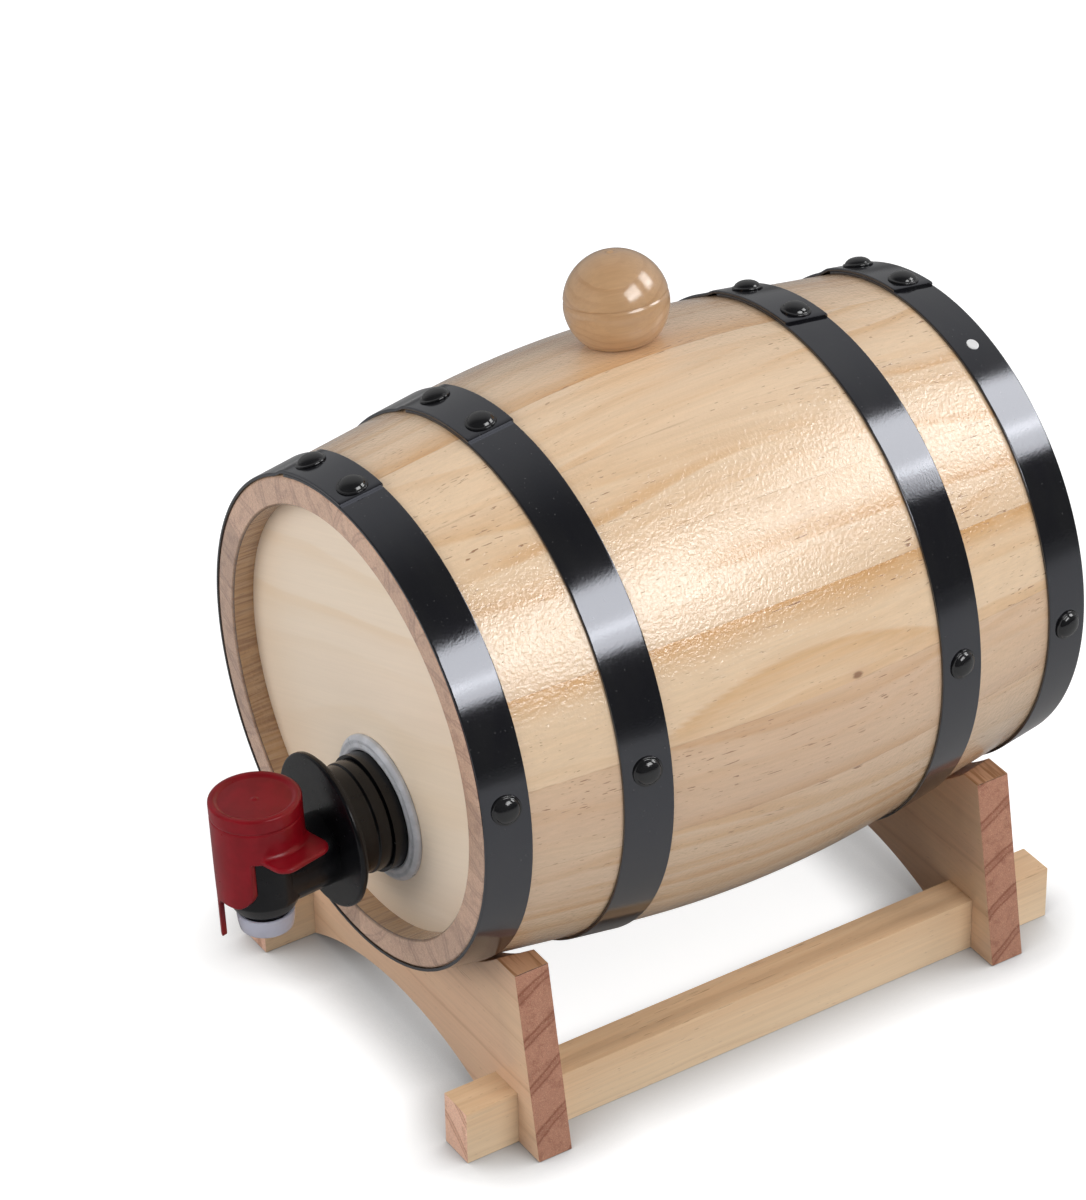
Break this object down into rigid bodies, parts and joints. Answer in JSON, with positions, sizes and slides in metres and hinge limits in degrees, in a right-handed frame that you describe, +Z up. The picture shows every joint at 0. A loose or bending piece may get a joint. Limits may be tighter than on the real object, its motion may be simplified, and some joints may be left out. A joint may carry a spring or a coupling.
{
  "type": "cask drinks dispenser",
  "caption": "Small varnished wooden cask lying in a cradle stand, with riveted black hoops, a ball-topped bung and a turning lever tap fed by a liner bag.",
  "frame": {"origin": "middle of the whole object's outline seen from above, on the floor that the stand's rails lie on", "axes": "+Z up; the cask lies along Y with its tap at -Y and its plain end at +Y; +X is on the right of someone who looks at the tap end"},
  "size_m": [0.182, 0.27, 0.2419],
  "materials": {
    "stave_pine": "varnished",
    "head_pine": "varnished",
    "stand_pine": "varnished",
    "knob_wood": "varnished",
    "cork": "matte",
    "hoop_steel": "gloss black",
    "rivet_steel": "gloss black",
    "bright_steel": "bright",
    "screw_steel": "plated",
    "grey_seal": "satin",
    "soft_seal": "matte",
    "black_plastic": "semi-gloss",
    "white_plastic": "satin",
    "red_plastic": "semi-gloss",
    "cap_plastic": "translucent",
    "bag_film": "film"
  },
  "bodies": {
    "stand": {"front_cradle": "stand_pine", "rear_cradle": "stand_pine", "left_rail": "stand_pine", "right_rail": "stand_pine", "rail_screws": "screw_steel"},
    "cask": {"stave_01": "stave_pine", "stave_02": "stave_pine", "stave_03": "stave_pine", "stave_04": "stave_pine", "stave_05": "stave_pine", "stave_06": "stave_pine", "stave_07": "stave_pine", "stave_08": "stave_pine", "stave_09": "stave_pine", "stave_10": "stave_pine", "stave_11": "stave_pine", "stave_12": "stave_pine", "stave_13": "stave_pine", "stave_14": "stave_pine", "stave_15": "stave_pine", "stave_16": "stave_pine", "stave_17": "stave_pine", "stave_18": "stave_pine", "front_head": "head_pine", "rear_head": "head_pine", "front_end_hoop": "hoop_steel", "front_quarter_hoop": "hoop_steel", "rear_quarter_hoop": "hoop_steel", "rear_end_hoop": "hoop_steel", "front_end_hoop_rivets": "rivet_steel", "front_quarter_hoop_rivets": "rivet_steel", "rear_quarter_hoop_rivets": "rivet_steel", "rear_end_hoop_rivets": "rivet_steel", "rear_hoop_nail": "bright_steel", "sealing_ring": "grey_seal", "bag_gland": "black_plastic", "liner_bag": "bag_film"},
    "bung": {"bung_knob": "knob_wood", "bung_dowel": "knob_wood", "bung_cork": "cork"},
    "tap": {"tap_body": "black_plastic", "tap_diaphragm": "soft_seal"},
    "stem": {"tap_stem": "white_plastic", "valve_seal": "soft_seal"},
    "collar": {"tap_collar": "red_plastic"},
    "cap": {"spout_cap": "cap_plastic"}
  },
  "joints": [
    {"name": "cask_lift", "type": "slide", "parent": "stand", "child": "cask", "axis": [0, 0, 1], "range_m": [0, 0.15]},
    {"name": "bung_pull", "type": "slide", "parent": "cask", "child": "bung", "axis": [-0.2079, 0, 0.9781], "range_m": [0, 0.04]},
    {"name": "tap_swivel", "type": "hinge", "parent": "cask", "child": "tap", "pos_m": [0.00645, -0.085, 0.09408], "axis": [0, 1, 0], "range_deg": [-90, 90]},
    {"name": "stem_lift", "type": "slide", "parent": "tap", "child": "stem", "axis": [-0.0698, 0, 0.9976], "range_m": [0, 0.003]},
    {"name": "collar_turn", "type": "hinge", "parent": "stem", "child": "collar", "pos_m": [0.00645, -0.1206, 0.09408], "axis": [0.0698, 0, -0.9976], "range_deg": [0, 50]},
    {"name": "cap_pull", "type": "slide", "parent": "tap", "child": "cap", "axis": [0.0698, 0, -0.9976], "range_m": [0, 0.04]}
  ],
  "couplings": [
    {"joint": "stem_lift", "follows": "collar_turn", "m_per_rad": 0.0034377}
  ]
}
